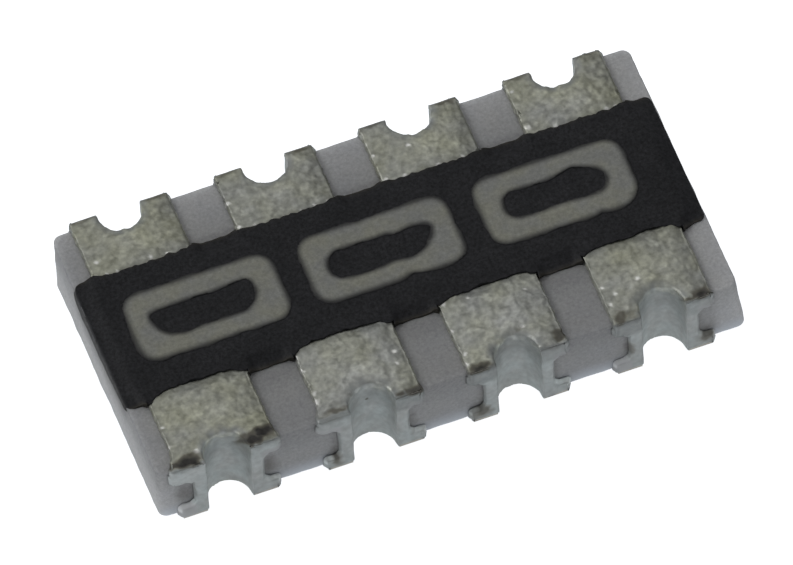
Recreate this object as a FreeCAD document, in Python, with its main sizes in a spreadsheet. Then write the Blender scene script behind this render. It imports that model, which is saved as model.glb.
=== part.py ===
import FreeCAD, Part
import Sketcher
import os

# Four-element chip resistor network with eight concave (half-hole) terminals.
# X runs along the length, -Y is the front row of terminals, +Z is the marked face.
# The part stands on its tin lands at Z = 0, with the origin under its middle.
# Sizes are millimetres.

doc = FreeCAD.newDocument("resistor_network")

# Sizes that can be set by themselves: name, value, what it is.
DRIVING = (
    ("ceramic_length", 3.20, "ceramic, end to end"),
    ("ceramic_width", 1.60, "ceramic, row to row"),
    ("ceramic_thickness", 0.40, "ceramic, marked face to lands"),
    ("ceramic_corner", 0.05, "radius of the ceramic's corners in plan"),
    ("terminal_pairs", 4, "resistors, and terminals in each row"),
    ("terminal_pitch", 0.80, "middle of one terminal to the next"),
    ("row_shift", 0.02, "both rows of terminals off the middle, towards the left end"),
    ("notch_radius", 0.155, "half-round notch in the bare ceramic"),
    ("land_width", 0.515, "silver land along the row"),
    ("lower_land_length", 0.40, "silver land under the ceramic, inwards from the edge"),
    ("lip_height", 0.055, "silver on the edge face below the marked side"),
    ("ear_height", 0.055, "silver on the edge face above the lower side"),
    ("post_width", 0.015, "silver beside the notch on the edge face"),
    ("lip_corner", 0.04, "cut where a post runs out into the lip"),
    ("ear_corner", 0.03, "cut where a post runs out into an ear"),
    ("silver_thickness", 0.020, "fired silver"),
    ("nickel_thickness", 0.005, "plated nickel barrier"),
    ("tin_thickness", 0.010, "plated tin finish"),
    ("film_width", 0.32, "resistive film along the row"),
    ("film_thickness", 0.008, "resistive film"),
    ("film_overlap", 0.06, "film lying on the end of each silver land"),
    ("glaze_margin", 0.02, "glass glaze past the film on every side"),
    ("glaze_thickness", 0.006, "glass glaze over the film"),
    ("cover_margin", 0.02, "overcoat past the glaze at the nearer row"),
    ("overcoat_width", 0.844, "overcoat band between two terminals"),
    ("overcoat_offset", 0.028, "middle of the band, from the ceramic's towards the back row"),
    ("overcoat_cover", 0.008, "overcoat above the glaze"),
    ("overcoat_corner", 0.04, "radius of the band's corners in plan"),
    ("left_inset", 0.004, "ceramic left bare past the band's left end"),
    ("right_inset", 0.006, "ceramic left bare past the band's right end"),
    ("front_creep", 0.060, "how far in past the band's edge the front plated lands reach"),
    ("back_creep", 0.006, "and the back ones"),
    ("plating_gap", 0.006, "room beside a plated land in its recess"),
    ("mark_count", 3, "numerals in the printed value"),
    ("mark_pitch", 0.965, "middle of one numeral to the next"),
    ("mark_length", 0.815, "numeral along the part"),
    ("mark_width", 0.43, "numeral across the part"),
    ("mark_stroke", 0.113, "width of the printed line"),
    ("mark_corner", 0.09, "outer corner radius of a numeral"),
    ("mark_hollow_corner", 0.06, "cut at the inner corners of a numeral"),
    ("mark_thickness", 0.005, "printed ink"),
    ("mark_shift", 0.037, "print off the middle, towards the left end"),
    ("mark_rise", 0.025, "print off the band's middle, towards the back row"),
)

# Sizes worked out from those: name, formula.
WORKED_OUT = [
    ("half_length", "=ceramic_length / 2"),
    ("half_width", "=ceramic_width / 2"),
    ("half_thickness", "=ceramic_thickness / 2"),
    ("half_pitch", "=terminal_pitch / 2"),
    ("silver_out", "=silver_thickness"),
    ("nickel_out", "=silver_out + nickel_thickness"),
    ("tin_out", "=nickel_out + tin_thickness"),
    ("overcoat_half", "=overcoat_width / 2"),
    ("front_recess", "=overcoat_half - front_creep"),
    ("back_recess", "=overcoat_half - back_creep"),
    ("glaze_half", "=front_recess - overcoat_offset - cover_margin"),
    ("film_half", "=glaze_half - glaze_margin"),
    ("silver_gap_half", "=film_half - film_overlap"),
    ("film_step", "=silver_gap_half - film_thickness"),
    ("glaze_step", "=film_step - glaze_thickness"),
    ("glaze_width", "=film_width + 2 * glaze_margin"),
    ("film_low", "=ceramic_thickness + film_thickness"),
    ("film_high", "=film_low + silver_thickness"),
    ("glaze_low", "=film_low + glaze_thickness"),
    ("glaze_high", "=film_high + glaze_thickness"),
    ("overcoat_top", "=glaze_high + overcoat_cover"),
    ("overcoat_height", "=overcoat_top - ceramic_thickness"),
    ("overcoat_left", "=half_length - left_inset"),
    ("overcoat_right", "=half_length - right_inset"),
    ("silver_toe", "=half_width - silver_gap_half"),
    ("front_toe", "=half_width - front_recess + overcoat_offset"),
    ("back_toe", "=half_width - back_recess - overcoat_offset"),
    ("mark_half_length", "=mark_length / 2"),
    ("mark_half_width", "=mark_width / 2"),
    ("hollow_half_length", "=mark_half_length - mark_stroke"),
    ("hollow_half_width", "=mark_half_width - mark_stroke"),
]
# Each layer of a terminal lies outside the one before it by its own thickness.
for layer in ("silver", "nickel", "tin"):
    grown = "%s_out - silver_out" % layer
    WORKED_OUT += [
        (layer + "_width", "=land_width + 2 * (%s)" % grown),
        (layer + "_heel", "=lower_land_length + " + grown),
        (layer + "_bore", "=notch_radius - %s_out" % layer),
        (layer + "_post", "=notch_radius + post_width + " + grown),
        (layer + "_ear", "=ear_height + " + grown),
        (layer + "_lip", "=ceramic_thickness - lip_height - (%s)" % grown),
        (layer + "_level", "=ceramic_thickness + %s_out" % layer),
    ]
WORKED_OUT += [
    ("recess_side", "=tin_width / 2 + plating_gap"),
    ("front_mouth", "=overcoat_half + front_creep"),
    ("back_mouth", "=overcoat_half + back_creep"),
]

sheet = doc.addObject("Spreadsheet::Sheet", "Sizes")
for row, (name, value, note) in enumerate(DRIVING, start=1):
    sheet.set("A%d" % row, name)
    sheet.set("B%d" % row, str(value))
    sheet.set("C%d" % row, note)
    sheet.setAlias("B%d" % row, name)
for row, (name, formula) in enumerate(WORKED_OUT, start=len(DRIVING) + 1):
    sheet.set("A%d" % row, name)
    sheet.set("B%d" % row, formula)
    sheet.setAlias("B%d" % row, name)
doc.recompute()


def size(name):
    """The value of a named size; a leading minus sign turns it round."""
    if name.startswith("-"):
        return -size(name[1:])
    return 0.0 if name == "zero" else float(sheet.get(name))


def cell(name):
    """The same name as an expression that a property can be bound to."""
    return "-Sizes." + name[1:] if name.startswith("-") else "Sizes." + name


def new_body(name):
    return doc.addObject("PartDesign::Body", name)


def new_sketch(body, name, role, height=None):
    """A sketch on one of the body's own origin planes, raised by a named size."""
    sketch = body.newObject("Sketcher::SketchObject", name)
    plane = next(item for item in body.Origin.OriginFeatures if item.Role == role)
    sketch.AttachmentSupport = (plane, [""])
    sketch.MapMode = "FlatFace"
    if height:
        sketch.setExpression("AttachmentOffset.Base.z", cell(height))
    return sketch


def hold(sketch, kind, geometry, name):
    """Pin one edge's start at a named distance from an axis."""
    if name == "zero":
        axis = -1 if kind == "DistanceY" else -2
        sketch.addConstraint(Sketcher.Constraint("PointOnObject", geometry, 1, axis))
        return
    number = sketch.addConstraint(Sketcher.Constraint(kind, -1, 1, geometry, 1, size(name)))
    sketch.setExpression("Constraints[%d]" % number, cell(name))


def draw_outline(sketch, corners):
    """A closed outline of level and upright edges.

    Each corner is (across, up), or has a named size as well: (across, up, radius) is
    rounded, and (across, up, size, "cut") is cut off at 45 degrees.
    """
    count = len(corners)
    points = [FreeCAD.Vector(size(corner[0]), size(corner[1]), 0) for corner in corners]
    backs = [size(corner[2]) if len(corner) > 2 else 0.0 for corner in corners]
    lines = []
    for here in range(count):
        there = (here + 1) % count
        along = (points[there] - points[here]).normalize()
        start = points[here] + along * backs[here]
        end = points[there] - along * backs[there]
        line = sketch.addGeometry(Part.LineSegment(start, end), False)
        if corners[here][1] == corners[there][1]:
            sketch.addConstraint(Sketcher.Constraint("Horizontal", line))
            hold(sketch, "DistanceY", line, corners[here][1])
        else:
            sketch.addConstraint(Sketcher.Constraint("Vertical", line))
            hold(sketch, "DistanceX", line, corners[here][0])
        lines.append(line)
    for here, corner in enumerate(corners):
        before, after = lines[here - 1], lines[here]
        if len(corner) == 2:
            sketch.addConstraint(Sketcher.Constraint("Coincident", before, 2, after, 1))
        elif len(corner) == 3:
            round_corner(sketch, before, after, points[here], corner[2])
        else:
            cut_corner(sketch, before, after, corner[2])


def round_corner(sketch, before, after, point, radius):
    """Join two edges by an arc of a named radius."""
    start = sketch.Geometry[before].EndPoint
    end = sketch.Geometry[after].StartPoint
    centre = start + end - point
    middle = centre + (point - centre).normalize() * size(radius)
    arc = sketch.addGeometry(Part.Arc(start, middle, end), False)
    turned = (sketch.Geometry[arc].StartPoint - start).Length > size(radius) / 2
    first, last = (2, 1) if turned else (1, 2)
    sketch.addConstraint(Sketcher.Constraint("Tangent", before, 2, arc, first))
    sketch.addConstraint(Sketcher.Constraint("Tangent", arc, last, after, 1))
    number = sketch.addConstraint(Sketcher.Constraint("Radius", arc, size(radius)))
    sketch.setExpression("Constraints[%d]" % number, cell(radius))


def cut_corner(sketch, before, after, width):
    """Join two edges by a line at 45 degrees, a named size wide along each."""
    start = sketch.Geometry[before].EndPoint
    end = sketch.Geometry[after].StartPoint
    line = sketch.addGeometry(Part.LineSegment(start, end), False)
    sketch.addConstraint(Sketcher.Constraint("Coincident", before, 2, line, 1))
    sketch.addConstraint(Sketcher.Constraint("Coincident", line, 2, after, 1))
    for kind, forward in (("DistanceX", end.x > start.x), ("DistanceY", end.y > start.y)):
        first, last = (1, 2) if forward else (2, 1)
        number = sketch.addConstraint(
            Sketcher.Constraint(kind, line, first, line, last, size(width)))
        sketch.setExpression("Constraints[%d]" % number, cell(width))


def draw_rectangle(sketch, left, right, low, high, *ending):
    """A rectangle whose corners all end the same way: plain, rounded or cut."""
    corners = ((left, low), (right, low), (right, high), (left, high))
    draw_outline(sketch, [corner + ending for corner in corners])


def draw_circle(sketch, radius, up="zero"):
    """A circle on the sketch's upright axis, at a named height."""
    centre = FreeCAD.Vector(0, size(up), 0)
    circle = sketch.addGeometry(Part.Circle(centre, FreeCAD.Vector(0, 0, 1), size(radius)), False)
    number = sketch.addConstraint(Sketcher.Constraint("Radius", circle, size(radius)))
    sketch.setExpression("Constraints[%d]" % number, cell(radius))
    sketch.addConstraint(Sketcher.Constraint("PointOnObject", circle, 3, -2))
    if up == "zero":
        sketch.addConstraint(Sketcher.Constraint("PointOnObject", circle, 3, -1))
    else:
        number = sketch.addConstraint(Sketcher.Constraint("DistanceY", -1, 1, circle, 3, size(up)))
        sketch.setExpression("Constraints[%d]" % number, cell(up))


def pad(body, sketch, length, symmetric=False):
    feature = body.newObject("PartDesign::Pad", sketch.Name + "_pad")
    feature.Profile = sketch
    feature.SideType = "Symmetric" if symmetric else "One side"
    feature.setExpression("Length", cell(length))
    return feature


def cut_through(body, sketch, symmetric=False, reverse=False):
    """A pocket that runs right through, and must take something away."""
    doc.recompute()
    before = body.Shape.Volume
    feature = body.newObject("PartDesign::Pocket", sketch.Name + "_pocket")
    feature.Profile = sketch
    feature.Type = "ThroughAll"
    feature.SideType = "Symmetric" if symmetric else "One side"
    feature.Reversed = reverse
    doc.recompute()
    if not body.Shape.Volume < before:
        raise RuntimeError(feature.Name + " cuts nothing")
    return feature


def repeat_along_row(body, feature, sketch):
    """Repeat a feature at every terminal, from the first at the left."""
    pattern = body.newObject("PartDesign::LinearPattern", feature.Name + "_row")
    pattern.Originals = [feature]
    pattern.Direction = (sketch, ["H_Axis"])
    pattern.Mode = "Spacing"
    pattern.setExpression("Offset", "Sizes.terminal_pitch")
    pattern.setExpression("Occurrences", "Sizes.terminal_pairs")
    body.Tip = pattern
    return pattern


def join(name, pieces):
    """One tool made of several pieces, to cut another with."""
    tool = doc.addObject("Part::MultiFuse", name)
    tool.Shapes = pieces
    return tool


def less(name, base, tool):
    """A sub-part that fills its outer form and leaves out what lies inside it."""
    piece = doc.addObject("Part::Cut", name)
    piece.Base = base
    piece.Tool = tool
    return piece


def column_place(number):
    """Where the middle of a column of terminals lies along the part."""
    return ("(%d - (Sizes.terminal_pairs - 1) / 2) * Sizes.terminal_pitch - Sizes.row_shift"
            % number)


def place(piece, across, along, turned=False):
    """Set a piece on the ceramic, which stands clear of the board by the plating."""
    if turned:
        piece.Placement = FreeCAD.Placement(
            FreeCAD.Vector(), FreeCAD.Rotation(FreeCAD.Vector(0, 0, 1), 180))
    piece.setExpression("Placement.Base.x", across)
    piece.setExpression("Placement.Base.y", along)
    piece.setExpression("Placement.Base.z", "Sizes.tin_out")
    return piece


def build_substrate():
    """The ceramic, snapped from a sheet through its rows of punched holes."""
    body = new_body("ceramic_substrate")
    outline = new_sketch(body, "substrate_outline", "XY_Plane")
    draw_rectangle(outline, "-half_length", "half_length", "-half_width", "half_width",
                   "ceramic_corner")
    pad(body, outline, "ceramic_thickness")
    notches = new_sketch(body, "substrate_notches", "XY_Plane")
    notches.setExpression("AttachmentOffset.Base.x", column_place(0))
    draw_circle(notches, "notch_radius", "half_width")
    draw_circle(notches, "notch_radius", "-half_width")
    pocket = cut_through(body, notches, reverse=True)
    repeat_along_row(body, pocket, notches)
    return place(body, "0", "0")


def build_edge():
    """The ceramic's edge round one notch, seen from the terminal that wraps it."""
    body = new_body("ceramic_edge")
    outline = new_sketch(body, "edge_outline", "XY_Plane")
    draw_rectangle(outline, "-half_pitch", "half_pitch", "zero", "half_width")
    pad(body, outline, "ceramic_thickness")
    notch = new_sketch(body, "edge_notch", "XY_Plane")
    draw_circle(notch, "notch_radius")
    cut_through(body, notch, reverse=True)
    return body


def build_wrap(name, layer, toe, softened=False):
    """The outer form of one layer of a terminal.

    It wraps the ceramic's edge from above to below, is bored for the lined notch,
    and has a window on each side of the notch where the edge face stays bare.
    The plating's own outer form is softened at its folds and window corners.
    """
    out, heel, top = layer + "_out", layer + "_heel", layer + "_level"
    upper_fold = (out,) if softened else ()
    lower_fold = (out, "cut") if softened else ()
    body = new_body(name)
    upper = new_sketch(body, name + "_upper", "YZ_Plane")
    draw_outline(upper, (
        ("-" + out, "half_thickness"), (toe, "half_thickness"),
        (toe, top), ("-" + out, top) + upper_fold))
    pad(body, upper, layer + "_width", symmetric=True)
    lower = new_sketch(body, name + "_lower", "YZ_Plane")
    draw_outline(lower, (
        ("-" + out, "-" + out) + lower_fold, (heel, "-" + out),
        (heel, "half_thickness"), ("-" + out, "half_thickness")))
    pad(body, lower, layer + "_width", symmetric=True)
    bore = new_sketch(body, name + "_bore", "XY_Plane")
    draw_circle(bore, layer + "_bore")
    cut_through(body, bore, symmetric=True)
    windows = new_sketch(body, name + "_windows", "XZ_Plane")
    post, ear, lip = layer + "_post", layer + "_ear", layer + "_lip"
    at_lip = ("lip_corner", "cut") if softened else ()
    at_ear = ("ear_corner", "cut") if softened else ()
    draw_outline(windows, (
        (post, ear) + at_ear, ("half_pitch", ear),
        ("half_pitch", lip), (post, lip) + at_lip))
    draw_outline(windows, (
        ("-half_pitch", ear), ("-" + post, ear) + at_ear,
        ("-" + post, lip) + at_lip, ("-half_pitch", lip)))
    cut_through(body, windows, reverse=True)
    return body


def build_terminals():
    """Silver, nickel and tin of every terminal, each shell fitting the one inside it."""
    edge = build_edge()
    silver = build_wrap("silver_wrap", "silver", "silver_toe")
    pieces = []
    for row, along in enumerate(("-Sizes.half_width", "Sizes.half_width")):
        side = ("front", "back")[row]
        toe = side + "_toe"
        nickel = build_wrap(side + "_nickel_wrap", "nickel", toe)
        tin = build_wrap(side + "_tin_wrap", "tin", toe, softened=True)
        inside_nickel = join(side + "_inside_nickel", [silver, edge])
        inside_tin = join(side + "_inside_tin", [nickel, edge])
        for column in range(int(size("terminal_pairs"))):
            number = row * int(size("terminal_pairs")) + column + 1
            across = column_place(column)
            for label, base, tool in (("silver_electrode", silver, edge),
                                      ("nickel_barrier", nickel, inside_nickel),
                                      ("tin_terminal", tin, inside_tin)):
                piece = less("%s_%d" % (label, number), base, tool)
                pieces.append(place(piece, across, along, turned=row == 1))
    return pieces


def build_film(number):
    """A film printed across the ceramic and up onto the two silver lands."""
    body = new_body("film_element_%d" % (number + 1))
    section = new_sketch(body, body.Name + "_section", "YZ_Plane")
    draw_outline(section, (
        ("-film_half", "silver_level"), ("-silver_gap_half", "silver_level"),
        ("-silver_gap_half", "ceramic_thickness"), ("silver_gap_half", "ceramic_thickness"),
        ("silver_gap_half", "silver_level"), ("film_half", "silver_level"),
        ("film_half", "film_high"), ("film_step", "film_high"),
        ("film_step", "film_low"), ("-film_step", "film_low"),
        ("-film_step", "film_high"), ("-film_half", "film_high")))
    pad(body, section, "film_width", symmetric=True)
    return place(body, column_place(number), "0")


def build_glaze(number, film, silvers):
    """The glass over a film, down to the ceramic on both sides of it."""
    body = new_body("glaze_block_%d" % (number + 1))
    section = new_sketch(body, body.Name + "_section", "YZ_Plane")
    draw_outline(section, (
        ("-glaze_half", "ceramic_thickness"), ("glaze_half", "ceramic_thickness"),
        ("glaze_half", "glaze_high"), ("glaze_step", "glaze_high"),
        ("glaze_step", "glaze_low"), ("-glaze_step", "glaze_low"),
        ("-glaze_step", "glaze_high"), ("-glaze_half", "glaze_high")))
    pad(body, section, "glaze_width", symmetric=True)
    place(body, column_place(number), "0")
    under = join("under_glaze_%d" % (number + 1), [film] + silvers)
    return less("primary_glaze_%d" % (number + 1), body, under)


def build_overcoat(covered):
    """The black band, recessed at each terminal where the plating runs up to it."""
    body = new_body("overcoat_band")
    outline = new_sketch(body, "overcoat_outline", "XY_Plane", "ceramic_thickness")
    draw_rectangle(outline, "-overcoat_left", "overcoat_right", "-overcoat_half",
                   "overcoat_half", "overcoat_corner")
    pad(body, outline, "overcoat_height")
    recesses = new_sketch(body, "overcoat_recesses", "XY_Plane", "ceramic_thickness")
    recesses.setExpression("AttachmentOffset.Base.x", column_place(0))
    draw_rectangle(recesses, "-recess_side", "recess_side", "back_recess", "back_mouth")
    draw_rectangle(recesses, "-recess_side", "recess_side", "-front_mouth", "-front_recess")
    pocket = cut_through(body, recesses, reverse=True)
    repeat_along_row(body, pocket, recesses)
    place(body, "0", "Sizes.overcoat_offset")
    return less("overcoat", body, join("under_overcoat", covered))


def build_mark(number):
    """One rounded nought of the printed value."""
    body = new_body("value_mark_%d" % (number + 1))
    outline = new_sketch(body, body.Name + "_outline", "XY_Plane", "overcoat_top")
    draw_rectangle(outline, "-mark_half_length", "mark_half_length", "-mark_half_width",
                   "mark_half_width", "mark_corner")
    draw_rectangle(outline, "-hollow_half_length", "hollow_half_length", "-hollow_half_width",
                   "hollow_half_width", "mark_hollow_corner", "cut")
    pad(body, outline, "mark_thickness")
    across = "(%d - (Sizes.mark_count - 1) / 2) * Sizes.mark_pitch - Sizes.mark_shift" % number
    return place(body, across, "Sizes.overcoat_offset + Sizes.mark_rise")


substrate = build_substrate()
terminals = build_terminals()
pairs = int(size("terminal_pairs"))
films = []
glazes = []
for column in range(pairs):
    names = ["silver_electrode_%d" % (column + 1), "silver_electrode_%d" % (pairs + column + 1)]
    film = build_film(column)
    films.append(film)
    glazes.append(build_glaze(column, film, [doc.getObject(name) for name in names]))
silvers = [piece for piece in terminals if piece.Name.startswith("silver_electrode")]
overcoat = build_overcoat(silvers + films + glazes)
marks = [build_mark(number) for number in range(int(size("mark_count")))]
nodes = [substrate] + terminals + films + glazes + [overcoat] + marks

doc.recompute()
for item in doc.Objects:
    if "Invalid" in item.State or "Error" in item.State:
        raise RuntimeError("%s failed: %s" % (item.Name, item.State))
for node in nodes:
    if node.Shape.isNull() or not node.Shape.isValid() or len(node.Shape.Solids) != 1:
        raise RuntimeError("%s isn't one valid solid" % node.Name)

os.makedirs("parts", exist_ok=True)
for node in nodes:
    node.Label = node.Name
    node.Shape.exportStep("parts/%s.step" % node.Label)
print("wrote %d sub-parts" % len(nodes))
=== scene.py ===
import math

import bmesh
import bpy
from mathutils import Matrix, Vector, kdtree, noise
from mathutils.bvhtree import BVHTree


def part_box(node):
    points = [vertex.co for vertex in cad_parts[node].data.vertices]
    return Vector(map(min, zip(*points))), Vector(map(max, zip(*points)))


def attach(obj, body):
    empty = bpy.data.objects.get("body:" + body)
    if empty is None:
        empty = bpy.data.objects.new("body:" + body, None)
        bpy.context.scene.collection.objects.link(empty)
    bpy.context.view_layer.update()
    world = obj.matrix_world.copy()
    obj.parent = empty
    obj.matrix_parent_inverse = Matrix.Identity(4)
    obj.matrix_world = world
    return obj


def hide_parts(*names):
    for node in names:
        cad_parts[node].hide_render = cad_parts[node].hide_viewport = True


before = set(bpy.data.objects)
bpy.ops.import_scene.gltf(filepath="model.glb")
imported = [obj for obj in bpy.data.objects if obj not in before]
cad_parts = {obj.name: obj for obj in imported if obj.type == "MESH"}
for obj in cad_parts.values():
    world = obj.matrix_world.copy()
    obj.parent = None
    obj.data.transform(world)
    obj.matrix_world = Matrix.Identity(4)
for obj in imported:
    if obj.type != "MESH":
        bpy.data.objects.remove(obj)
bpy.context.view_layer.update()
scene = bpy.context.scene
perMm = 0.001  # everything below is worked out in millimetres
noise.seed_set(1)  # without it the noise would be other at each run


def vec(x, y, z):
    return Vector((x, y, z))


def soft(value, low, high):
    # 0 below low, 1 above high, with a smooth run between them
    t = min(max((value - low) / (high - low), 0.0), 1.0)
    return t * t * (3 - 2 * t)


def directionOf(azimuth, elevation):
    # in degrees; azimuth 0 lies towards -Y, so that a camera there looks along +Y
    a, e = math.radians(azimuth), math.radians(elevation)
    return vec(math.sin(a) * math.cos(e), -math.cos(a) * math.cos(e), math.sin(e))


def addObject(name, data):
    piece = bpy.data.objects.new(name, data)
    scene.collection.objects.link(piece)
    return piece


# camera

view = {
    "lens": 1000.0,  # long, so the long edges stay nearly parallel
    "distance": 114.18,
    "azimuth": -17.35,  # 0 looks along +Y
    "elevation": 56.06,
    "roll": -3.8,
    "aim": (0.0, 0.0, 0.22),
    "slide": (0.0062, 0.0067),  # right and up in the picture
}


def addCamera():
    azimuth, roll = [math.radians(view[key]) for key in ("azimuth", "roll")]
    back = directionOf(view["azimuth"], view["elevation"])
    side = vec(math.cos(azimuth), math.sin(azimuth), 0)
    up = back.cross(side)
    right = side * math.cos(roll) + up * math.sin(roll)
    upright = up * math.cos(roll) - side * math.sin(roll)
    slideX, slideY = view["slide"]
    eye = (Vector(view["aim"]) + back * view["distance"]
           + right * slideX + upright * slideY)
    data = bpy.data.cameras.new("camera")
    data.lens = view["lens"]
    data.sensor_width = 36.0
    data.clip_start = 0.01
    data.clip_end = 2.0
    camera = addObject("camera", data)
    turn = Matrix((right, upright, back)).transposed().to_4x4()
    camera.matrix_world = Matrix.Translation(eye * perMm) @ turn
    scene.camera = camera


addCamera()
print("camera set")


# shared shader effects

def newGroup(name, inputs, outputs):
    group = bpy.data.node_groups.new(name, "ShaderNodeTree")
    for socketName, kind, value in inputs:
        socket = group.interface.new_socket(socketName, in_out="INPUT", socket_type=kind)
        socket.default_value = value
    for socketName, kind in outputs:
        group.interface.new_socket(socketName, in_out="OUTPUT", socket_type=kind)
    given = group.nodes.new("NodeGroupInput")
    result = group.nodes.new("NodeGroupOutput")
    return group, given.outputs, result.inputs


def feed(tree, node, values):
    # a number or a color goes on the socket itself, anything else is an output to link
    for key, value in dict(values).items():
        if isinstance(value, tuple):
            node.inputs[key].default_value = (*value, 1)
        elif isinstance(value, (int, float)):
            node.inputs[key].default_value = value
        else:
            tree.links.new(value, node.inputs[key])


def addNode(tree, kind, values=(), **settings):
    node = tree.nodes.new(kind)
    for key, value in settings.items():
        setattr(node, key, value)
    feed(tree, node, values)
    return node


def addMath(tree, operation, first, second):
    return addNode(tree, "ShaderNodeMath", {0: first, 1: second}, operation=operation).outputs[0]


def addSpread(tree, value, newLow, newHigh, low=0.0, high=1.0):
    # spreads the value's run from low to high over the run from newLow to newHigh
    values = dict(enumerate((value, low, high, newLow, newHigh)))
    return addNode(tree, "ShaderNodeMapRange", values).outputs[0]


def addMix(tree, factor, first, second, blend="MIX"):
    values = {0: factor, 6: first, 7: second}
    return addNode(tree, "ShaderNodeMix", values, data_type="RGBA", blend_type=blend).outputs[2]


def placeInMm(tree):
    # Object coordinates, scaled so that one unit is a millimetre
    place = addNode(tree, "ShaderNodeTexCoord").outputs["Object"]
    values = {0: place, "Scale": 1 / perMm}
    return addNode(tree, "ShaderNodeVectorMath", values, operation="SCALE").outputs[0]


def makeGrainGroup():
    # crystals: a cell pattern broken up by noise
    group, given, result = newGroup("crystal grain", [
        ("Grains per mm", "NodeSocketFloat", 60.0),
        ("Fineness", "NodeSocketFloat", 0.6),
        ("Cells", "NodeSocketFloat", 1.0),
    ], [("Mask", "NodeSocketFloat"), ("Height", "NodeSocketFloat")])
    where = {"Vector": placeInMm(group), "Scale": given["Grains per mm"]}
    cells = addNode(group, "ShaderNodeTexVoronoi", {"Smoothness": 0.35, **where},
                    feature="SMOOTH_F1")
    fine = addNode(group, "ShaderNodeTexNoise",
                   {"Detail": 3.0, "Roughness": given["Fineness"], **where})
    dome = addMath(group, "SUBTRACT", 1.0, cells.outputs["Distance"])
    half = addMath(group, "MULTIPLY", given["Cells"], 0.5)
    domed = addMath(group, "MULTIPLY", dome, half)
    rest = addMath(group, "SUBTRACT", 1.0, half)
    height = addMath(group, "ADD", domed, addMath(group, "MULTIPLY", fine.outputs["Fac"], rest))
    mask = addSpread(group, height, 0.0, 1.0, low=0.35, high=0.8)
    group.links.new(mask, result["Mask"])
    group.links.new(height, result["Height"])
    return group


def makePatchGroup():
    # two tones that run into each other in uneven patches
    group, given, result = newGroup("uneven tone", [
        ("Tone A", "NodeSocketColor", (0.5, 0.5, 0.5, 1)),
        ("Tone B", "NodeSocketColor", (0.4, 0.4, 0.4, 1)),
        ("Patches per mm", "NodeSocketFloat", 12.0),
        ("Balance", "NodeSocketFloat", 0.5),
        ("Blur", "NodeSocketFloat", 0.12),
    ], [("Color", "NodeSocketColor")])
    pattern = addNode(group, "ShaderNodeTexNoise", {
        "Detail": 4.0, "Vector": placeInMm(group), "Scale": given["Patches per mm"]})
    low, high = [addMath(group, operation, given["Balance"], given["Blur"])
                 for operation in ("SUBTRACT", "ADD")]
    mask = addSpread(group, pattern.outputs["Fac"], 0.0, 1.0, low=low, high=high)
    group.links.new(addMix(group, mask, given["Tone A"], given["Tone B"]), result["Color"])
    return group


def makeSpeckGroup():
    # scattered small specks, as of dust or bright crystal faces
    group, given, result = newGroup("scattered specks", [
        ("Specks per mm", "NodeSocketFloat", 30.0),
        ("Radius", "NodeSocketFloat", 0.2),
        ("Share", "NodeSocketFloat", 0.2),
    ], [("Mask", "NodeSocketFloat")])
    cells = addNode(group, "ShaderNodeTexVoronoi", {
        "Vector": placeInMm(group), "Scale": given["Specks per mm"]})
    dot = addSpread(group, cells.outputs["Distance"], 1.0, 0.0, high=given["Radius"])
    split = addNode(group, "ShaderNodeSeparateColor", {0: cells.outputs["Color"]})
    kept = addMath(group, "LESS_THAN", split.outputs[0], given["Share"])
    group.links.new(addMath(group, "MULTIPLY", dot, kept), result["Mask"])
    return group


grainGroup = makeGrainGroup()
patchGroup = makePatchGroup()
speckGroup = makeSpeckGroup()


def placeGroup(tree, group, **values):
    names = {"toneA": "Tone A", "toneB": "Tone B", "patches": "Patches per mm",
             "grains": "Grains per mm", "specks": "Specks per mm"}
    values = {names.get(key, key.capitalize()): value for key, value in values.items()}
    return addNode(tree, "ShaderNodeGroup", values, node_tree=group).outputs


def addMask(tree, name):
    # a value that the piece's own vertices carry
    return addNode(tree, "ShaderNodeAttribute", attribute_name=name).outputs["Fac"]


def addShade(tree, color, grain, low, high):
    # the grain darkens and lightens a color
    return addMix(tree, 1.0, color, addSpread(tree, grain["Mask"], low, high), "MULTIPLY")


def addLook(tree, shader, base, rough, grain, depthMm):
    # color, roughness and relief; two roughnesses are those of the grain's hollows and peaks
    if isinstance(rough, tuple):
        rough = addSpread(tree, grain["Mask"], *rough)
    relief = addNode(tree, "ShaderNodeBump", {
        "Strength": 0.5, "Distance": depthMm * perMm, "Height": grain["Height"]})
    feed(tree, shader, {"Base Color": base, "Roughness": rough,
                        "Normal": relief.outputs["Normal"]})


def newMaterial(name, **constants):
    material = bpy.data.materials.new(name)
    material.use_nodes = True
    tree = material.node_tree
    shader = tree.nodes["Principled BSDF"]
    for key, value in constants.items():
        socket = {"metallic": "Metallic", "specular": "Specular IOR Level",
                  "translucence": "Subsurface Weight", "depthOfLight": "Subsurface Scale",
                  "radius": "Subsurface Radius"}[key]
        shader.inputs[socket].default_value = value
    return material, tree, shader


# shared mesh work

def mergedCopy(nodeName):
    bm = bmesh.new()
    bm.from_mesh(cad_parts[nodeName].data)
    bmesh.ops.scale(bm, vec=(1 / perMm,) * 3, verts=bm.verts)
    bmesh.ops.remove_doubles(bm, verts=bm.verts, dist=0.0003)
    bmesh.ops.dissolve_limit(bm, angle_limit=math.radians(0.5), verts=bm.verts,
                             edges=bm.edges, delimit={"NORMAL"})
    bm.normal_update()
    return bm


def cutIntoSteps(bm, shown, axis, low, high, step):
    # only faces whose layer value is 1 are cut
    direction = Vector([float(i == axis) for i in range(3)])
    count = max(int(round((high - low) / step)), 1)
    for i in range(1, count):
        faces = [f for f in bm.faces if f[shown]]
        edges = dict.fromkeys(e for f in faces for e in f.edges)
        verts = dict.fromkeys(v for f in faces for v in f.verts)
        bmesh.ops.bisect_plane(bm, geom=[*verts, *edges, *faces], dist=0.00002,
                               plane_co=direction * (low + (high - low) * i / count),
                               plane_no=direction)


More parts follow.
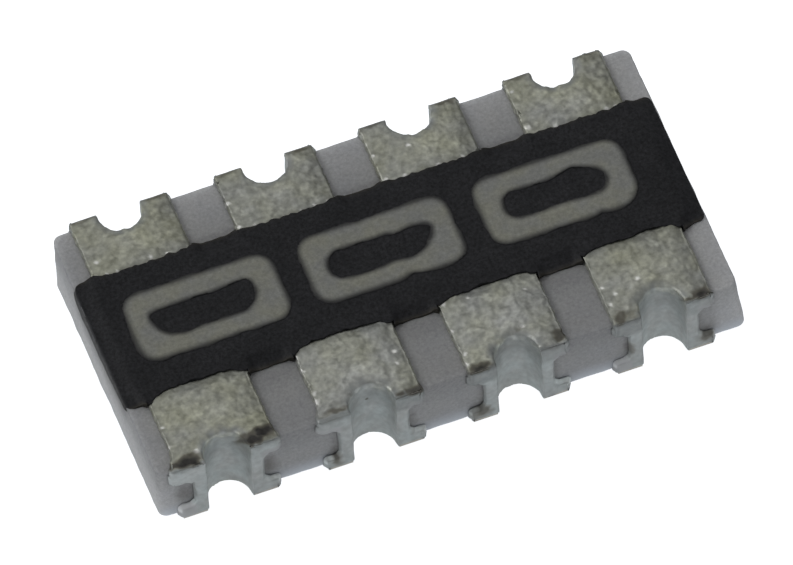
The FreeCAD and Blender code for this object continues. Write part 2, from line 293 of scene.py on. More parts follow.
def cornersOf(bm):
    return [[pick(v.co[i] for v in bm.verts) for i in range(3)] for pick in (min, max)]


def roundEdges(bm, edges, offset, segments):
    bmesh.ops.bevel(bm, geom=edges, offset=offset, segments=segments, profile=0.5,
                    affect="EDGES", material=-1, clamp_overlap=True)


def newLayers(bm, *names):
    # values on the points, which the materials read as masks
    return {name: bm.verts.layers.float.new(name) for name in names}


def treeOf(verts):
    tree = kdtree.KDTree(len(verts))
    for i, vert in enumerate(verts):
        tree.insert(vert.co, i)
    tree.balance()
    return tree


def keepOnSeat(vert, move, shown):
    # a rim point slides along what it sits on and never leaves it
    for face in vert.link_faces:
        if not face[shown]:
            move = move - face.normal * move.dot(face.normal)
    return move


def finishPiece(bm, name, material, slotName, *nodes):
    bmesh.ops.triangulate(bm, faces=[f for f in bm.faces if len(f.verts) > 4])
    bmesh.ops.scale(bm, vec=(perMm,) * 3, verts=bm.verts)
    for face in bm.faces:
        face.smooth = True
    mesh = bpy.data.meshes.new(name)
    bm.to_mesh(mesh)
    bm.free()
    mesh.materials.append(material)
    piece = addObject(name, mesh)
    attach(piece, "root")
    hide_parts(*nodes)


# tin terminals

tin = {
    "step": 0.007,  # spacing of the points that carry the grain
    "softenPasses": 14,
    "leastCover": 0.004,  # tin that is left over the nickel
    "cornerRound": 0.03,  # in plan, where a land's sides meet the fold
    "grainSize": 0.045,
    "grainHeight": 0.0085,
    "swellSize": 0.085,
    "swellHeight": 0.005,
    "crown": 0.01,  # the lands are fuller in the middle than along their sides
    "wallGrain": 0.1,  # grain on the smoother upright faces, as a share
    "knobHeight": 0.006,  # beads along the edges of a land
    "knobSize": 0.026,
    "pitch": 0.8,
    "rowShift": 0.02,
    "halfWidth": 0.2725,
    "boreRadius": 0.12,
    "postEdge": 0.185,
    "lipFoot": 0.365,
    "earTop": 0.105,
    "flare": 0.018,  # how far the sides run out where they meet the ceramic
    "flareTop": (0.006, 0.012),  # and the lands' sides at their foot, left then right
    "flareRun": 0.035,  # over this depth
    "ragged": 0.016,  # how far the outline of a dark spot wanders
    "raggedSize": 0.03,
    "olive": (0.55, 0.555, 0.435),
    "grey": (0.51, 0.52, 0.49),
    "upright": (0.43, 0.465, 0.46),
    "uprightGrey": (0.4, 0.41, 0.4),
    "uprightMetal": 0.6,
    "bare": (0.43, 0.435, 0.44),
    "stain": (0.035, 0.033, 0.029),
    "brown": (0.17, 0.155, 0.118),
    # painted highlight, the colour of light glinting off the tin's crystals
    "paintedGlint": (0.97, 0.97, 0.93),
    "spotDent": 0.005,  # how far a dark spot sinks in
    "cornerCut": 0.01,  # how far at most a corner is drawn in
    "knobGlint": (0.3, 0.15),  # how bright the painted highlights on the beads are on the back row, on the front row
    "lipLow": 1.14,  # how light a lip is painted below its fold, on the posts
    "boreLow": 1.38,  # painted light from the floor: how light the bore is at its foot
    "boreDrop": 0.4,  # and how much darker it is painted further up
    "boreRise": 0.12,  # how much lighter it is painted again at the top
    "boreLeft": 0.35,  # and on its left side, which faces away from the key lamp
    "landMiddle": 0.18,  # painted highlight: how much lighter a land is in its middle
    "landRight": 0.14,  # painted shade: how much darker on its right
    "landEdges": (0.35, 0.12),  # painted light: how much lighter along its left and right edges, against the shade at their foot
    "landSide": 0.45,  # and further down on the right one
    "crease": 0.8,  # how much lighter the crease over an ear is painted, against its shade
    # the look of terminals 1 to 8: how warm and how light the land is, and how far in from the
    # fold the smooth lip runs
    "warm": (0.5, 0.15, 0.3, 0.38, 0.55, 0.48, 0.45, 0.55),
    "land": (0.94, 1.0, 1.0, 0.92, 0.9, 0.9, 0.9, 0.9),
    "inset": (0.016, 0.044, 0.018, 0.01, 0.01, 0.01, 0.01, 0.01),
    # left and right of the bore: how light the lip is, how far it hangs lower and spreads
    # sideways, how far up it is worn thin, how worn the ear below it is
    "lips": ((1.21, 1.02), (1.03, 0.81), (0.78, 0.87), (0.8, 0.92)) + ((0.9, 0.92),) * 4,
    "hang": ((0.03, 0.0), (0.0, 0.0), (0.015, 0.0), (0.015, 0.0),
             (0.01, 0.0), (0.0, 0.01), (0.01, 0.0), (0.0, 0.01)),
    "spread": ((0.04, 0.012), (0.03, 0.0)) + ((0.0, 0.0),) * 6,
    "wornLip": ((0.0, 0.03), (0.03, 0.03), (0.0, 0.03), (0.0, 0.03)) + ((0.0, 0.0),) * 4,
    "wornEar": ((0.8, 0.0), (0.0, 0.0), (0.0, 0.0), (0.8, 0.0)) + ((0.0, 0.0),) * 4,
    # low down and high up: how light the bore is painted, a further painted light and shade
    "bore": ((1.03, 0.94), (1.03, 1.05), (1.07, 0.94), (1.07, 1.03)) + ((1.03, 1.0),) * 4,
    # dark spots: across from the middle, in from the fold, half sizes, strength
    "spots": {
        1: [(-0.196, 0.044, 0.062, 0.046, 1.0), (-0.262, 0.04, 0.062, 0.022, 0.8),
            (0.15, 0.046, 0.07, 0.044, 1.0), (0.222, 0.074, 0.066, 0.042, 1.0)],
        2: [(-0.178, 0.048, 0.085, 0.018, 0.45), (0.231, 0.017, 0.05, 0.04, 0.7),
            (0.159, 0.023, 0.026, 0.022, 0.6)],
        3: [(-0.209, 0.022, 0.064, 0.036, 0.88), (0.247, 0.062, 0.042, 0.042, 0.7),
            (0.059, 0.166, 0.032, 0.02, 0.35)],
        4: [(-0.225, 0.041, 0.042, 0.05, 0.52), (-0.165, 0.041, 0.045, 0.03, 0.25),
            (0.217, 0.03, 0.052, 0.043, 0.9), (0.155, 0.014, 0.045, 0.018, 0.5)],
        5: [(-0.205, 0.014, 0.07, 0.026, 0.3), (0.205, 0.014, 0.07, 0.026, 0.35)],
        6: [(-0.205, 0.012, 0.07, 0.024, 0.3), (0.205, 0.016, 0.07, 0.028, 0.4)],
        7: [(-0.205, 0.014, 0.07, 0.026, 0.3), (0.205, 0.016, 0.07, 0.028, 0.4)],
        8: [(-0.205, 0.014, 0.07, 0.026, 0.35), (0.205, 0.012, 0.07, 0.024, 0.3)],
    },
    # painted highlights on the lands, where crystals catch the light: across, reach from the
    # part's middle, radius
    "sparks": {
        1: [(-0.258, 0.546, 0.011), (-0.144, 0.747, 0.018), (-0.27, 0.674, 0.012)],
        2: [(-0.271, 0.396, 0.016), (-0.272, 0.484, 0.016), (-0.267, 0.692, 0.02),
            (-0.256, 0.641, 0.013), (0.221, 0.554, 0.012), (0.204, 0.626, 0.01)],
        3: [(-0.244, 0.371, 0.014), (-0.262, 0.543, 0.01), (-0.249, 0.704, 0.013),
            (-0.267, 0.763, 0.015), (-0.112, 0.386, 0.01), (0.181, 0.442, 0.01),
            (0.084, 0.654, 0.016)],
        4: [(-0.241, 0.695, 0.012), (-0.054, 0.602, 0.015), (-0.199, 0.645, 0.01),
            (-0.248, 0.581, 0.01)],
        5: [(-0.253, 0.46, 0.013), (-0.218, 0.54, 0.013), (-0.193, 0.452, 0.009),
            (0.052, 0.464, 0.012), (-0.138, 0.452, 0.008), (0.138, 0.457, 0.009)],
        6: [(0.227, 0.456, 0.014), (-0.264, 0.636, 0.015), (-0.18, 0.452, 0.01),
            (0.154, 0.452, 0.01), (0.074, 0.452, 0.008), (-0.257, 0.476, 0.01)],
        7: [(0.036, 0.452, 0.014), (-0.245, 0.472, 0.015), (-0.147, 0.453, 0.013),
            (0.174, 0.452, 0.012), (-0.067, 0.623, 0.013), (-0.255, 0.638, 0.012)],
        8: [(0.172, 0.453, 0.015), (-0.248, 0.496, 0.016), (-0.116, 0.452, 0.01),
            (0.223, 0.452, 0.009), (-0.246, 0.739, 0.012)],
    },
}

# grime on the front side, by terminal: across, height, half sizes, strength
grime = {
    1: [(-0.235, 0.205, 0.06, 0.075, 0.45), (0.228, 0.205, 0.038, 0.09, 0.6)],
    2: [(-0.215, 0.11, 0.032, 0.085, 0.62), (0.205, 0.2, 0.022, 0.12, 0.35),
        (0.013, 0.32, 0.012, 0.01, 0.8)],
    3: [(-0.215, 0.09, 0.058, 0.055, 0.66)],
    4: [(-0.192, 0.2, 0.03, 0.075, 0.45), (0.23, 0.11, 0.055, 0.06, 0.6),
        (0.237, 0.01, 0.042, 0.032, 0.5)],
}


def spotDepth(spots, across, inward, seed):
    # how deep in a dark spot a point lies: 0 outside, 1 in the middle
    deepest = 0.0
    drift = noise.noise_vector(vec(across, inward, seed) / tin["raggedSize"])
    across += drift.x * tin["ragged"]
    inward += drift.y * tin["ragged"]
    for spotAcross, spotInward, halfLength, halfDepth, strength in spots:
        wander = noise.noise(vec(across * 28, inward * 28, seed)) * 0.28
        away = math.hypot((across - spotAcross) / halfLength, (inward - spotInward) / halfDepth)
        deepest = max(deepest, strength * (1 - soft(away + wander, 0.25, 1.4)))
    return deepest


def ownLook(number, *keys):
    return [tin[key][number - 1] for key in keys]


def columnOf(x):
    # the column of terminals that a point belongs to, and how far off its middle it lies
    pitch, shift = tin["pitch"], tin["rowShift"]
    column = min(max(int(math.floor((x + shift) / pitch)) + 2, 0), 3)
    return column, x + shift - (column - 1.5) * pitch


def makeTinMaterial():
    material, tree, shader = newMaterial("matte plated tin")
    tone = placeGroup(tree, patchGroup, toneA=tin["olive"], toneB=tin["grey"],
                      patches=5.0, balance=addSpread(tree, addMask(tree, "warm"), 0.3, 0.7),
                      blur=0.22)
    grain = placeGroup(tree, grainGroup, grains=30.0, fineness=0.55, cells=0.3)
    upright, stain, bare, paintedGlint = [addMask(tree, name)
                                   for name in ("upright", "stain", "bare", "paintedGlint")]
    grained = addShade(tree, tone["Color"], grain, 0.78, 1.3)
    smooth = placeGroup(tree, patchGroup, toneA=tin["upright"],
                        toneB=tin["uprightGrey"], patches=9.0, balance=0.5, blur=0.2)
    smoothed = addShade(tree, smooth["Color"], grain, 0.9, 1.13)
    both = addMix(tree, upright, grained, smoothed)
    both = addMix(tree, bare, both, tin["bare"])
    # painted light and shade that the points carry
    both = addMix(tree, 1.0, both, addMask(tree, "paintedShade"), "MULTIPLY")
    # painted highlights where the points carry them
    both = addMix(tree, paintedGlint, both, tin["paintedGlint"])
    halo = addSpread(tree, stain, 0.0, 1.0, low=0.05, high=0.45)
    both = addMix(tree, addMath(tree, "MULTIPLY", halo, 0.75), both, tin["brown"])
    core = addSpread(tree, stain, 0.0, 1.0, low=0.34, high=0.95)
    both = addMix(tree, core, both, addShade(tree, tin["stain"], grain, 0.6, 1.7))
    rough = addSpread(tree, grain["Mask"], 0.58, 0.44)
    rough = addMath(tree, "SUBTRACT", rough, addMath(tree, "MULTIPLY", paintedGlint, 0.15))
    metal = addSpread(tree, stain, 1.0, 0.15, low=0.3, high=0.8)
    dull = addSpread(tree, upright, 1.0, tin["uprightMetal"])
    metal = addMath(tree, "MULTIPLY", metal, dull)
    metal = addMath(tree, "MULTIPLY", metal, addSpread(tree, bare, 1.0, 0.0))
    feed(tree, shader, {"Metallic": metal})
    addLook(tree, shader, both, rough, grain, 0.004)
    return material


def cutTin(number):
    # the shell of one terminal, its air side cut fine enough to carry the grain
    bm = mergedCopy("tin_terminal_%d" % number)
    under = mergedCopy("nickel_barrier_%d" % number)
    seat = BVHTree.FromBMesh(under)
    under.free()
    shown = bm.faces.layers.int.new("shown")
    for face in bm.faces:
        middle = face.calc_center_median()
        face[shown] = int(seat.find_nearest(middle)[3] > 0.001)
        if face.normal.z < -0.9 and middle.z > 0.3 or face.normal.z > 0.9 and middle.z < 0.1:
            face[shown] = 0
    low, high = cornersOf(bm)
    for axis in (2, 0, 1):
        cutIntoSteps(bm, shown, axis, low[axis], high[axis], tin["step"])
    free = [v for v in bm.verts if v.link_faces and all(f[shown] for f in v.link_faces)]
    for _ in range(tin["softenPasses"]):
        bmesh.ops.smooth_vert(bm, verts=free, factor=0.5, use_axis_x=True,
                              use_axis_y=True, use_axis_z=True)
    bm.normal_update()
    return bm, seat, low, high


def tinLook(number, across, reach, inward, place, top):
    # how far a point of the air side belongs to a land, its painted light and shade, and how bare
    # it is
    side = across > 0
    z = place.z
    inset, landLight, lightness, wornLip, wornEar, boreLight = ownLook(
        number, "inset", "land", "lips", "wornLip", "wornEar", "bore")
    lip = inset * (1 + 0.5 * noise.noise(place / 0.05))
    fromBore = math.hypot(across, reach - 0.8) - tin["boreRadius"]
    level = max(soft(z, top - 0.03, top - 0.01), 1 - soft(reach, 0.76, 0.8))
    onTop = level * soft(inward, lip - 0.012, lip + 0.006) * soft(z, 0.4, 0.43)
    patchy = min(max(0.45 + 0.7 * noise.noise(place / 0.04), 0.0), 1.0)
    onTop *= patchy + (1 - patchy) * soft(fromBore, 0.005, 0.05)
    inBore = 1 - soft(fromBore, -0.006, 0.006)
    onTop = max(onTop, patchy * inBore * soft(z, top - 0.13, top - 0.02))
    land = max(onTop, 1 - soft(z, 0.004, 0.012))
    right = soft(across, -0.05, 0.05)
    lipShade = lightness[0] * (1 - right) + lightness[1] * right
    # the posts below the lips are painted lighter
    lipShade = tin["lipLow"] + (lipShade - tin["lipLow"]) * soft(z, 0.33, 0.37)
    # painted light on the bore: lighter at its foot, at its top and on its left side, darker
    # between
    boreShade = tin["boreLow"] - tin["boreDrop"] * soft(z, 0.22, 0.36)
    boreShade += tin["boreRise"] * soft(z, 0.4, 0.45)
    boreShade *= 1 + tin["boreLeft"] * soft(-across, 0.02, 0.12) * soft(z, 0.25, 0.38)
    boreLow, boreHigh = boreLight
    boreShade *= boreLow + (boreHigh - boreLow) * soft(z, 0.22, 0.36)
    wall = boreShade * inBore + lipShade * (1 - inBore)
    # painted light and shade on a land: lighter down its middle, darker on its right, lighter
    # along both edges and further down the right one
    landShade = 1 + tin["landMiddle"] * math.exp(-(across / 0.13) ** 2) * soft(reach, 0.45, 0.6)
    landShade *= landLight
    landShade *= 1 - tin["landRight"] * soft(across, 0.16, 0.24)
    sideLow = 1 - soft(z, top - 0.022, top - 0.008)
    edgeLeft, edgeRight = tin["landEdges"]
    landShade *= 1 + (edgeRight + tin["landSide"] * sideLow) * soft(across, 0.262, 0.276)
    landShade *= 1 + edgeLeft * soft(-across, 0.266, 0.274)
    # the front lands are darker next to the coat
    if number <= 4:
        landShade *= 0.7 + 0.3 * soft(reach, 0.35, 0.4)
    paintedShade = landShade * land + wall * (1 - land)
    # painted light in the crease over an ear, where shade falls
    outside = soft(abs(across), tin["postEdge"] - 0.01, tin["postEdge"] + 0.015)
    creased = outside * soft(reach, 0.795, 0.805) * (1 - soft(reach, 0.825, 0.835))
    creased *= soft(z, 0.06, 0.09) * (1 - soft(z, 0.14, 0.18))
    paintedShade *= 1 + tin["crease"] * creased
    foot, ear = tin["lipFoot"], tin["earTop"]
    bare = 0.0
    if wornLip[side]:
        end = foot + wornLip[side]
        bare = 0.8 * outside * soft(z, 0.3, 0.32)
        bare *= 1 - soft(z, end - 0.01, end + 0.01)
    worn = wornEar[side] * outside
    bare = max(bare, worn * (1 - soft(z, ear, ear + 0.02)))
    return land, paintedShade, bare * (1 - land)


def coverNickel(free, seat, aside):
    # pushes the tin out where it comes too close to the nickel, first its points, then the
    # middles of its edges
    least = tin["leastCover"]
    close = []
    for vert in free:
        near, facing, _, _ = seat.find_nearest(vert.co - aside)
        cover = (vert.co - aside - near).dot(facing)
        if cover < least:
            vert.co += facing * (least - cover)
        if cover < least + 0.003:
            close.append(vert)
    free = set(free)
    edges = dict.fromkeys(e for v in close for e in v.link_edges
                          if all(end in free for end in e.verts))
    for _ in range(4):
        pushes = {}
        for edge in edges:
            middle = (edge.verts[0].co + edge.verts[1].co) / 2 - aside
            near, facing, _, _ = seat.find_nearest(middle)
            lack = 0.7 * least - (middle - near).dot(facing)
            if lack > 0:
                for end in edge.verts:
                    if lack > pushes.get(end, (0, None))[0]:
                        pushes[end] = (lack, facing)
        for vert, (lack, facing) in pushes.items():
            vert.co += facing * lack


def roughenTin(bm, seat, number, low, high):
    front = number <= 4
    aside = vec((number - 1) % 4 * tin["pitch"], 0, 0)
    shown = bm.faces.layers.int["shown"]
    layers = newLayers(bm, "upright", "stain", "paintedGlint", "paintedShade", "warm", "bare")
    top = high[2]
    outer = -low[1] if front else high[1]
    innerEnd = -high[1] if front else low[1]
    warm, hang, spread = ownLook(number, "warm", "hang", "spread")
    shift = vec(number * 3.7, 0, 0)
    moves = {}
    for vert in bm.verts:
        if not any(f[shown] for f in vert.link_faces):
            continue
        place, normal, z = vert.co, vert.normal, vert.co.z
        reach = -place.y if front else place.y
        across = columnOf(place.x)[1]
        right = across > 0
        inward = (outer - reach) - (top - z)
        land, paintedShade, bare = tinLook(number, across, reach, inward, place, top)
        spot = spotDepth(tin["spots"][number], across, inward, number)
        if front and reach > 0.6:
            spot = max(spot, 0.8 * spotDepth(grime[number], across, z, number))
        vert[layers["upright"]] = 1 - land
        # painted light and shade, which the tin's material reads
        vert[layers["paintedShade"]] = paintedShade
        vert[layers["bare"]] = bare
        vert[layers["stain"]] = spot
        vert[layers["warm"]] = warm
        share = tin["wallGrain"] + (1 - tin["wallGrain"]) * land
        grain = noise.noise(place / tin["grainSize"] + shift)
        grain += 0.6 * noise.noise(place / tin["grainSize"] * 2.1 + shift)
        height = tin["grainHeight"] * 0.5 * grain * share
        height += tin["swellHeight"] * noise.noise(place / tin["swellSize"] + shift)
        height -= tin["spotDent"] * spot
        if z > 0.9 * top:
            full = 1 - 1.8 * (across / tin["halfWidth"]) ** 2
            rise = soft(reach, innerEnd + 0.01, innerEnd + 0.08)
            height += tin["crown"] * full * land * rise
        move = normal * height
        paintedGlint = 0.0
        sideways = vec(normal.x, normal.y, 0)
        fromEdge = tin["halfWidth"] - abs(across)
        atEdge = fromEdge < 0.03 or reach < innerEnd + 0.03
        if z > 0.9 * top and reach < outer - 0.03 and sideways.length > 0.3 and atEdge:
            knob = noise.noise(place / tin["knobSize"] + shift)
            move += sideways * tin["knobHeight"] * (0.3 + knob)
            # the painted highlight is weaker on the right edges, which face away from the key
            # lamp
            facing = 0.4 if right and fromEdge < 0.03 else 1.0
            paintedGlint = facing * soft(knob, 0.05, 0.45) * tin["knobGlint"][front]
        for sparkAcross, sparkReach, radius in tin["sparks"][number]:
            away = math.hypot(across - sparkAcross, reach - sparkReach)
            away *= 1 + 0.7 * noise.noise(place / 0.014 + shift)
            if z > 0.9 * top:
                paintedGlint = max(paintedGlint, 0.9 * (1 - soft(away, radius * 0.3, radius * 1.25)))
        vert[layers["paintedGlint"]] = paintedGlint
        outside = soft(abs(across), tin["postEdge"], tin["postEdge"] + 0.02)
        if 0.3 < z < 0.42 and reach > 0.79:
            move.z -= hang[right] * outside * (1 - soft(z, 0.37, 0.405))
        aslant = soft(reach, 0.68, 0.82) * soft(z, 0.33, 0.36)
        aslant *= soft(abs(across), 0.2, 0.27)
        move.x += math.copysign(spread[right], across) * aslant
        corner = tin["cornerRound"]
        beyond = vec(corner - fromEdge, corner - outer + reach, 0)
        if min(beyond.x, beyond.y) > 0 and beyond.length > corner and z > 0.3:
            cut = beyond.normalized() * min(beyond.length - corner, tin["cornerCut"])
            move -= vec(math.copysign(cut.x, across), -cut.y if front else cut.y, 0)
        fromMiddle = vec(across, reach - 0.8, 0)
        beyond.x = corner - fromMiddle.length + tin["boreRadius"]
        if 0 < beyond.x < corner + 0.005 and beyond.y > 0 and beyond.length > corner:
            cut = beyond.normalized() * min(beyond.length - corner, tin["cornerCut"])
            fromMiddle.normalize()
            move += vec(fromMiddle.x * cut.x, cut.y if front else -cut.y, 0)
        depth = min(max((outer - reach) / tin["flareRun"], 0.0), 1.0)
        if 0.03 < z < 0.42 and abs(across) > 0.15 and reach > 0.79:
            move += vec(normal.x, 0, normal.z) * tin["flare"] * depth ** 1.5
        elif z > 0.43 and fromEdge < 0.02:
            lowness = min(max((top - z) / tin["flareRun"], 0.0), 1.0)
            move += vec(normal.x, 0, 0) * tin["flareTop"][right] * lowness ** 1.5
        moves[vert] = keepOnSeat(vert, move, shown)
    for vert, move in moves.items():
        vert.co += move
    coverNickel([v for v in moves if all(f[shown] for f in v.link_faces)], seat, aside)


def buildTin():
    material = makeTinMaterial()
    for first in (1, 5):
        base, seat, low, high = cutTin(first)
        for column in range(4):
            number = first + column
            bm = base.copy()
            bmesh.ops.translate(bm, vec=(column * tin["pitch"], 0, 0), verts=bm.verts)
            bm.normal_update()
            roughenTin(bm, seat, number, low, high)
            faceCount = len(bm.faces)
            finishPiece(bm, "plated_tin_%d" % number, material, "tin", "tin_terminal_%d" % number)
        base.free()
        print("tin row from", first, "with", faceCount, "faces each")


buildTin()


# ceramic

ceramic = {
    "step": 0.026,
    "edgeRound": 0.01,
    "snappedHeight": 0.0035,  # unevenness of the snapped sides
    "firedHeight": 0.0006,  # and of the fired faces
    "lean": 0.042,  # the right end is snapped askew and leans out at its foot
    "top": 0.435,
    "band": (-0.394, 0.45),  # the coated band's long edges
    "tone": (0.46, 0.46, 0.455),
    "toneCool": (0.43, 0.435, 0.445),
    "glow": (0.6, 0.64, 0.69),  # painted light from below, through the lowest part of the sides
    "smudge": (0.1, 0.088, 0.075),
    "speck": (0.25, 0.24, 0.22),
    # grime beside the front posts: strength and reach, left then right
    "smudges": {1: ((0.1, 0.05), (0.35, 0.055)), 2: ((0.5, 0.07), (0.4, 0.05)),
                3: ((0.35, 0.06), (0.38, 0.045)), 4: ((0.38, 0.045), (0.3, 0.045))},
}


def makeCeramicMaterial():
    material, tree, shader = newMaterial("fired alumina", specular=0.35, translucence=0.5,
                                         depthOfLight=0.00015, radius=(1.0, 1.0, 1.05))
    tone = placeGroup(tree, patchGroup, toneA=ceramic["tone"],
                      toneB=ceramic["toneCool"], patches=6.0, balance=0.5, blur=0.25)
    grain = placeGroup(tree, grainGroup, grains=55.0, fineness=0.8, cells=0.3)
    specks = placeGroup(tree, speckGroup, specks=16.0, radius=0.08, share=0.12)
    base = addShade(tree, tone["Color"], grain, 0.84, 1.24)
    # painted light and shade that the points carry
    base = addMix(tree, 1.0, base, addMask(tree, "paintedShade"), "MULTIPLY")
    # painted light from below on the lowest part of the front and back sides
    base = addMix(tree, addMask(tree, "glow"), base, ceramic["glow"])
    dusty = addMath(tree, "MULTIPLY", specks["Mask"], 0.35)
    base = addMix(tree, dusty, base, ceramic["speck"])
    base = addMix(tree, addMask(tree, "smudge"), base, ceramic["smudge"])
    addLook(tree, shader, base, (0.62, 0.48), grain, 0.0012)
    return material


def smudgeAt(place):
    # grime on the snapped front side, beside the posts and in single marks
    if place.y > -0.79:
        return 0.0
    column, across = columnOf(place.x)
    strength, reach = ceramic["smudges"][column + 1][across > 0]
    away = (abs(across) - tin["postEdge"]) / reach
    mottle = 0.75 + 0.6 * noise.noise(place / 0.05)
    near = strength * mottle * (1 - soft(away, 0.0, 1.0)) * (1 - soft(place.z, 0.2, 0.38))
    return max(near, spotDepth(grime[column + 1], across, place.z, column + 1))


def shadeAt(place, normal):
    # painted light and shade on the ceramic: the snapped sides get darker upwards, most of all
    # under the coat
    top = ceramic["top"]
    front, back = ceramic["band"]
    # the top is painted darker beside the coat
    if place.y < 0:
        flat = 0.86 * (0.84 + 0.16 * soft(front - place.y, 0.04, 0.16))
    else:
        fromBand = place.y - back
        flat = 0.78 + 0.22 * soft(fromBand, 0.04, 0.08)
        flat *= 0.88 + 0.29 * soft(fromBand, 0.05, 0.35)
    # and painted lighter near both ends
    if place.x < -1.49:
        flat = max(flat, 0.99)
    elif place.x > 1.46:
        flat = max(flat, 1.22)
    # the sides are painted darker upwards and lighter near the ends
    side = 0.9 - 0.2 * soft(place.z, 0.18, top)
    side *= 1 + 0.28 * soft(-place.x, 1.47, 1.52) + 0.35 * soft(place.x, 1.44, 1.5)
    # the ends are painted darkest under the coat's band, the left one most
    inBand = soft(place.y, front - 0.01, front + 0.16)
    inBand *= 1 - soft(place.y, back - 0.08, back + 0.03)
    inBand *= 1.0 if place.x < 0 else 0.4
    below = soft(top - place.z, 0.0, 0.3)
    end = (0.12 + 1.00 * below) * inBand + (0.64 + 0.44 * below) * (1 - inBand)
    up = max(normal.z, 0.0) ** 2
    down = min(normal.z, 0.0) ** 2
    return flat * up + side * normal.y ** 2 + end * normal.x ** 2 + 0.95 * down


def buildCeramic():
    bm = mergedCopy("ceramic_substrate")
    low, high = [tuple(c / perMm for c in corner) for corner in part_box("ceramic_substrate")]
    sharp = [e for e in bm.edges if e.calc_face_angle(0) > math.radians(60)]
    roundEdges(bm, sharp, ceramic["edgeRound"], 3)
    shown = bm.faces.layers.int.new("shown")
    for face in bm.faces:
        face[shown] = 1
    for axis in (0, 1, 2):
        cutIntoSteps(bm, shown, axis, low[axis], high[axis], ceramic["step"])
    bm.normal_update()
    layers = newLayers(bm, "smudge", "paintedShade", "glow")
    for vert in bm.verts:
        place, normal = vert.co.copy(), vert.normal.copy()
        side = math.hypot(normal.x, normal.y)
        rough = noise.noise(place / 0.09) + 0.5 * noise.noise(place / 0.035)
        height = ceramic["snappedHeight"] * rough * side * side
        height += ceramic["firedHeight"] * noise.noise(place / 0.12) * abs(normal.z)
        vert.co = place + normal * height
        vert[layers["smudge"]] = smudgeAt(place)
        vert[layers["paintedShade"]] = shadeAt(place, normal)
        # painted light from below, low on the front and back sides
        vert[layers["glow"]] = 0.9 * (1 - soft(place.z, 0.03, 0.17)) * normal.y ** 2
        lean = ceramic["lean"] * soft(place.x, 1.45, 1.6)
        vert.co.x += lean * (high[2] - place.z) / (high[2] - low[2])
    faceCount = len(bm.faces)
    finishPiece(bm, "alumina_chip", makeCeramicMaterial(), "alumina", "ceramic_substrate")
    print("ceramic with", faceCount, "faces")


buildCeramic()


# overcoat

coat = {
    "step": 0.016,
    "edgeRound": 0.016,
    "waviness": 0.006,
    "wavySize": 0.07,
    "ragged": 0.014,  # where the coat meets a land
    "raggedSize": 0.032,
    "worn": 0.02,  # how far in from its long edges the black is worn brown
    "thinEdge": 0.24,  # the coat thins out to this share where it ends on the ceramic
    "thinOver": 0.1,
    "left": -1.596,
    "right": 1.594,
    "front": ceramic["band"][0],
    "back": ceramic["band"][1],
    "tone": (0.0165, 0.017, 0.019),
    "toneWorn": (0.0265, 0.0268, 0.0295),
    "brown": (0.082, 0.074, 0.055),
    "speck": (0.09, 0.09, 0.09),
    "cuts": ((-1.6, 1.6), (-0.4, 0.5)),  # the points are spaced over these runs of x and of y
    "landCorner": 0.27,
    "skirtOut": 0.014,  # the coat also runs over the ceramic's left end
    "inset": (0.012, 0.03),  # its front edge lies further in between the lands and at the ends
    "backOut": 0.018,  # and its back edge further out between the lands
    "skirtDown": (0.025, 0.065),
    # how far the coat laps over a land's inner corners, left then right
    "laps": {1: (0.055, 0.04), 2: (0.045, 0.042), 3: (0.032, 0.036), 4: (0.03, 0.046),
             5: (0.014, 0.012), 6: (0.012, 0.014), 7: (0.014, 0.012), 8: (0.012, 0.014)},
}


def makeCoatMaterial():
    material, tree, shader = newMaterial("black resin coat", specular=0.22)
    tone = placeGroup(tree, patchGroup, toneA=coat["tone"], toneB=coat["toneWorn"],
                      patches=7.0, balance=0.5, blur=0.25)
    grain = placeGroup(tree, grainGroup, grains=50.0, fineness=0.8, cells=0.2)
    specks = placeGroup(tree, speckGroup, specks=9.0, radius=0.05, share=0.25)
    dusty = addMath(tree, "MULTIPLY", specks["Mask"], 0.5)
    base = addMix(tree, dusty, tone["Color"], coat["speck"])
    base = addShade(tree, base, grain, 0.55, 1.85)
    base = addMix(tree, addMask(tree, "rim"), base, coat["brown"])
    addLook(tree, shader, base, (0.62, 0.48), grain, 0.0015)
    return material


def lapAt(place):
    # how far the coat's edge moves along +Y: over the lands and their corners, and back
    # between them
    front = place.y < 0
    column, across = columnOf(place.x)
    lap = coat["laps"][column + (1 if front else 5)][across > 0]
    away = abs(across) - coat["landCorner"]
    bump = lap * math.exp(-(away / (0.018 if away > 0 else 0.05)) ** 2)
    if front:
        bump *= min(max((place.y - coat["front"]) / 0.06, 0.0), 1.0)
    between = soft(abs(across), 0.27, 0.3)
    teeth = noise.noise(place / coat["raggedSize"]) + 0.3
    bump += coat["ragged"] * (1 - between) * teeth
    if front:
        near, ends = coat["inset"]
        inset = between * near + (ends - near) * soft(abs(place.x), 1.46, 1.54)
        return inset * soft(-place.y, 0.22, 0.34) - bump * soft(-place.y, 0.3, 0.33)
    bump += coat["backOut"] * between
    return bump * soft(place.y, 0.41, 0.44)


def thinAt(place):
    # how thick the coat still is towards the ends and the open stretches of its long edges
    least, over = coat["thinEdge"], coat["thinOver"]
    between = soft(abs(columnOf(place.x)[1]), 0.272, 0.335)
    share = 1.0
    for away, weight in ((place.y - coat["front"], between),
                         (coat["back"] - place.y, between),
                         (place.x - coat["left"], 1.0),
                         (coat["right"] - place.x, 1.0)):
        share *= 1 - (1 - least) * weight * (1 - soft(away, 0.0, over))
    return max(share, least)


def skirtAt(place):
    # how far down the left end the coat runs
    least, most = coat["skirtDown"]
    depth = least + (most - least) * soft(place.y, -0.3, -0.02)
    return depth * (1 - 0.7 * soft(place.y, 0.36, 0.45)) * (1 + 0.25 * noise.noise(place / 0.06))


